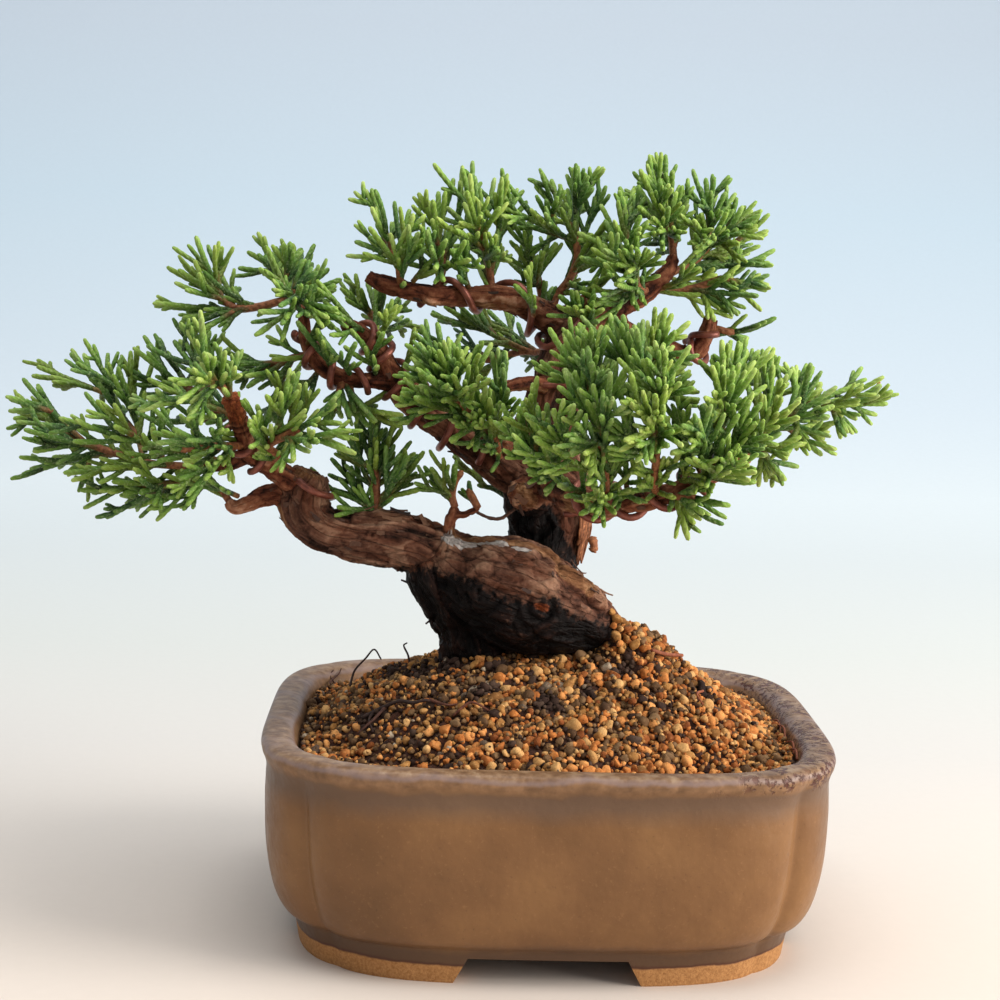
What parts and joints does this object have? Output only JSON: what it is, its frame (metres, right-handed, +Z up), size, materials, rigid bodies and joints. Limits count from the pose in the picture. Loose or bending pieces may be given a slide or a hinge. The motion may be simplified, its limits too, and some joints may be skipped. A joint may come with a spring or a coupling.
{
  "type": "potted juniper bonsai",
  "caption": "Small juniper bonsai, its limbs wound with training wire, in a glazed, lobed pot with corner feet and a mound of coarse soil.",
  "frame": {"origin": "middle of the bounding box's footprint, on the surface the pot stands on", "axes": "+X to the right across the pot's long side, +Y to the back, +Z up; the tree's front faces -Y"},
  "size_m": [0.184, 0.118, 0.165],
  "materials": {
    "glaze": "satin brown-olive glaze, bare tan clay on the feet",
    "soil": "loose baked-clay and lava grains",
    "bark": "flaky, fibrous bark",
    "foliage": "fleshy scale-leaf twiglets",
    "copper": "copper-brown anodised",
    "galvanised": "bare wire",
    "mesh": "moulded net"
  },
  "bodies": {
    "root": {"pot": "glaze", "drain_mesh_left": "mesh", "drain_mesh_right": "mesh", "tie_wire": "galvanised", "soil": "soil", "tree": "bark", "wire_trunk_top": "copper", "wire_branch": "copper", "wire_front": "copper", "wire_stub": "copper", "wire_left": "copper", "wire_fork": "copper", "wire_back": "copper", "spray_left_long": "foliage", "spray_left_mid": "foliage", "spray_left_front": "foliage", "spray_left_low": "foliage", "spray_left_under": "foliage", "spray_left_right": "foliage", "spray_second_top": "foliage", "spray_second_low": "foliage", "spray_second_right": "foliage", "spray_second_under": "foliage", "spray_left_upright": "foliage", "spray_low_twig": "foliage", "spray_low_side": "foliage", "spray_upper_left": "foliage", "spray_upper_mid": "foliage", "spray_upper_right": "foliage", "spray_top_left": "foliage", "spray_top_mid": "foliage", "spray_top_low": "foliage", "spray_crown_left": "foliage", "spray_crown_mid": "foliage", "spray_crown_right": "foliage", "spray_crown_low": "foliage", "spray_back_right": "foliage", "spray_rear": "foliage", "spray_front_mid": "foliage", "spray_front_left": "foliage", "spray_front_centre": "foliage", "spray_front_right": "foliage", "spray_front_low": "foliage", "spray_far_right": "foliage"}
  },
  "joints": []
}
